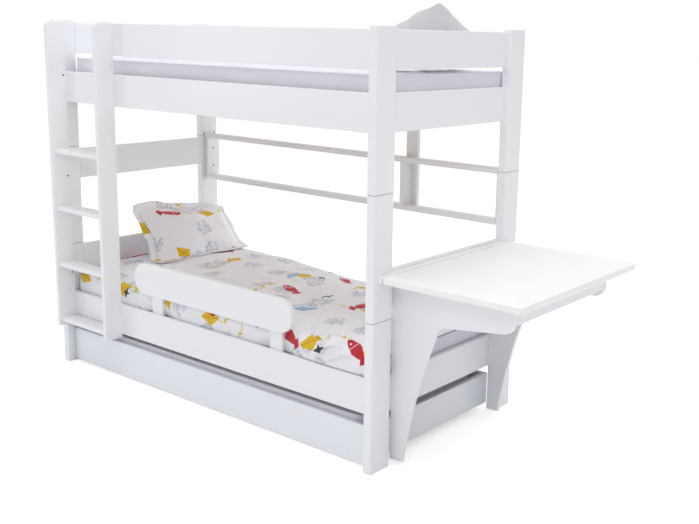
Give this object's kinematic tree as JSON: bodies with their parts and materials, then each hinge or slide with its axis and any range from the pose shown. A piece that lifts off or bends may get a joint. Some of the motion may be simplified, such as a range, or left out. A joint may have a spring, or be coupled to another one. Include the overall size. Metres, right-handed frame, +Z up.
{
  "type": "bunk bed",
  "caption": "White bunk bed with front ladder, pull-out bed on castors, desk across one end, long shelf behind, mattresses, duvet and pillows.",
  "frame": {"origin": "on the floor, under the middle of the bounding box", "axes": "+X along the bed from the ladder end to the desk end, +Y from the front to the back, +Z up"},
  "size_m": [2.729, 1.085, 1.8485],
  "materials": {
    "post_white": "white melamine boards, satin",
    "board_white": "white melamine boards, satin",
    "ladder_white": "white melamine boards, satin",
    "shelf_white": "white melamine boards, satin",
    "desk_white": "white melamine boards, satin",
    "desk_top_white": "white melamine top, satin",
    "pull_white": "white melamine boards, satin",
    "base_panel": "plain fibreboard, matt",
    "beech": "plain beech, matt",
    "pine": "plain pine, matt",
    "steel": "zinc plated",
    "wheel_black": "moulded, matt",
    "mattress_cover": "woven cover, matt",
    "printed_cotton": "printed cotton, matt",
    "printed_cotton_pillow": "printed cotton, matt",
    "grey_cotton": "plain cotton, matt"
  },
  "bodies": {
    "bed_frame": {"post_front_left_foot": "post_white", "post_front_left_mid": "post_white", "post_front_left_top": "post_white", "post_front_right_foot": "post_white", "post_front_right_mid": "post_white", "post_front_right_top": "post_white", "post_back_left_foot": "post_white", "post_back_left_mid": "post_white", "post_back_left_top": "post_white", "post_back_right_foot": "post_white", "post_back_right_mid": "post_white", "post_back_right_top": "post_white", "post_dowels": "beech", "rail_bolts": "steel", "lower_rail_front": "board_white", "lower_rail_back": "board_white", "lower_end_rail_left": "board_white", "lower_end_rail_right": "board_white", "headboard": "board_white", "footboard": "board_white", "middle_board_left": "board_white", "middle_board_right": "board_white", "upper_rail_front": "board_white", "upper_rail_back": "board_white", "upper_end_rail_left": "board_white", "upper_end_rail_right": "board_white", "upper_guard_front": "board_white", "upper_guard_back": "board_white", "upper_end_guard_left": "board_white", "upper_end_guard_right": "board_white", "slat_ledgers": "pine", "bed_slats": "pine", "ladder_stile_left": "ladder_white", "ladder_stile_right": "ladder_white", "ladder_treads": "ladder_white", "lower_guard_board": "board_white", "lower_guard_uprights": "board_white", "shelf_plank_low": "shelf_white", "shelf_plank_high": "shelf_white", "shelf_uprights": "shelf_white", "shelf_batten": "shelf_white", "desk_top": "desk_top_white", "desk_panel_front": "desk_white", "desk_panel_back": "desk_white", "desk_apron": "desk_white", "lower_mattress": "mattress_cover", "upper_mattress": "mattress_cover", "duvet": "printed_cotton", "lower_pillow": "printed_cotton_pillow", "upper_pillow": "grey_cotton"},
    "pull_out_bed": {"pull_front": "pull_white", "pull_ends": "pull_white", "pull_back": "pull_white", "pull_base": "base_panel", "pull_mattress": "mattress_cover", "castor_brackets": "steel"},
    "castor_wheel_front_left_body": {"castor_wheel_front_left": "wheel_black"},
    "castor_wheel_front_right_body": {"castor_wheel_front_right": "wheel_black"},
    "castor_wheel_back_left_body": {"castor_wheel_back_left": "wheel_black"},
    "castor_wheel_back_right_body": {"castor_wheel_back_right": "wheel_black"}
  },
  "joints": [
    {"name": "pull_out_slide", "type": "slide", "parent": "bed_frame", "child": "pull_out_bed", "axis": [0, -1, 0], "range_m": [0, 0.8]},
    {"name": "wheel_roll_front_left", "type": "hinge", "parent": "pull_out_bed", "child": "castor_wheel_front_left_body", "pos_m": [-1.2195, -0.3555, 0.02], "axis": [1, 0, 0], "continuous": true},
    {"name": "wheel_roll_front_right", "type": "hinge", "parent": "pull_out_bed", "child": "castor_wheel_front_right_body", "pos_m": [0.5805, -0.3555, 0.02], "axis": [1, 0, 0], "continuous": true},
    {"name": "wheel_roll_back_left", "type": "hinge", "parent": "pull_out_bed", "child": "castor_wheel_back_left_body", "pos_m": [-1.2195, 0.3445, 0.02], "axis": [1, 0, 0], "continuous": true},
    {"name": "wheel_roll_back_right", "type": "hinge", "parent": "pull_out_bed", "child": "castor_wheel_back_right_body", "pos_m": [0.5805, 0.3445, 0.02], "axis": [1, 0, 0], "continuous": true}
  ],
  "couplings": [
    {"joint": "wheel_roll_front_left", "follows": "pull_out_slide", "rad_per_m": 50},
    {"joint": "wheel_roll_front_right", "follows": "pull_out_slide", "rad_per_m": 50},
    {"joint": "wheel_roll_back_left", "follows": "pull_out_slide", "rad_per_m": 50},
    {"joint": "wheel_roll_back_right", "follows": "pull_out_slide", "rad_per_m": 50}
  ]
}
